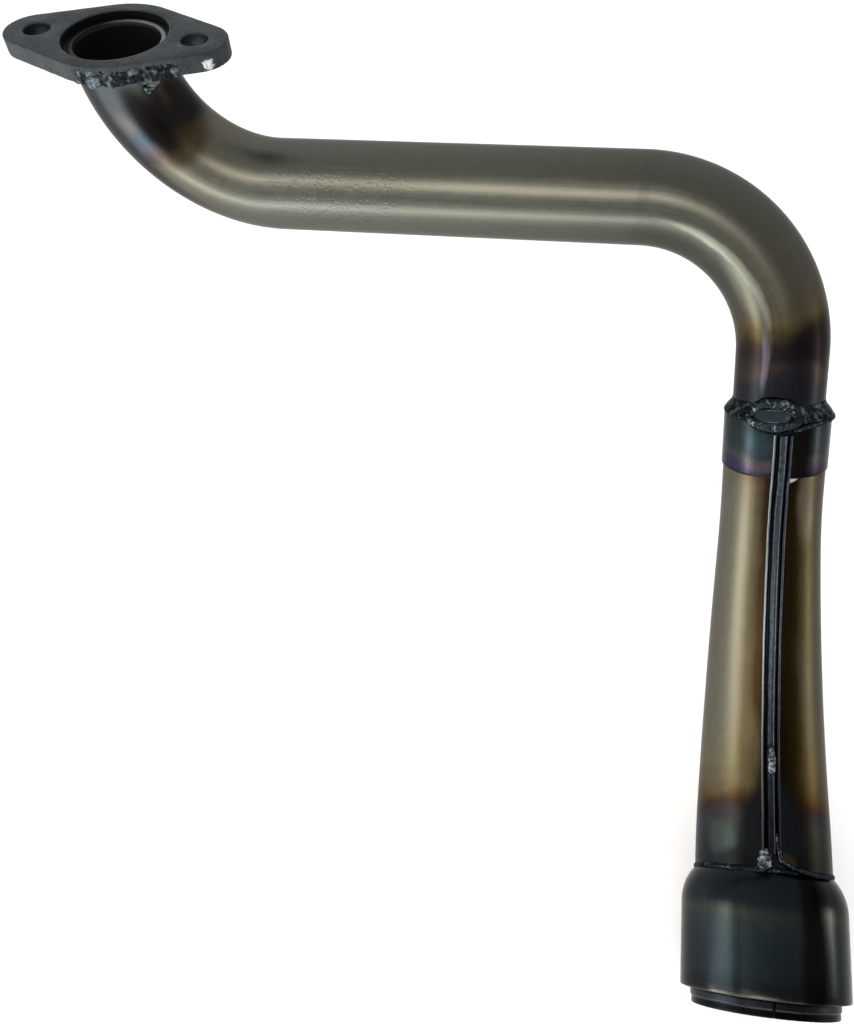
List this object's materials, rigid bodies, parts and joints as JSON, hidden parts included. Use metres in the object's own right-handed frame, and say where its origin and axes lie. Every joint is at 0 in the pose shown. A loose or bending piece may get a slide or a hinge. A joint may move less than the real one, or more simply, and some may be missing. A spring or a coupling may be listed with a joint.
{
  "type": "motorcycle exhaust header",
  "caption": "Bent exhaust header pipe with an oval bolt-on flange, a sleeve joint, a curved flaring cone with a raised welded seam, and a rounded end cup round a slip-on spigot.",
  "frame": {"origin": "centre of the port on the flange's sealing face, midway between the stud holes", "axes": "+Z out of the sealing face towards the engine; +X through the stud holes and the way the long run of tube leaves; -Y towards the outlet"},
  "size_m": [0.3182, 0.2376, 0.2466],
  "materials": {
    "plate_steel": "raw steel plate, dull",
    "tube_steel": "bare mill-finish steel tube with heat tint near the flange, satin",
    "burnt_steel": "steel burnt blue-black by welding heat, semi-gloss",
    "straw_steel": "straw-coloured bare steel sheet, satin",
    "weld_metal": "rippled weld metal, bright on the crests"
  },
  "bodies": {
    "root": {"flange": "plate_steel", "upper_bend": "tube_steel", "header_tube": "tube_steel", "lower_bend": "tube_steel", "flange_weld": "weld_metal", "flange_tack": "weld_metal", "sleeve": "burnt_steel", "sleeve_weld": "burnt_steel", "patch_plug": "weld_metal", "patch_weld": "weld_metal", "cone": "straw_steel", "seam_strip": "straw_steel", "seam_rod": "burnt_steel", "seam_top_weld": "weld_metal", "seam_mid_tack": "weld_metal", "seam_end_weld": "weld_metal", "cup_weld": "burnt_steel", "end_cup": "burnt_steel", "muffler_spigot": "burnt_steel"}
  },
  "joints": []
}
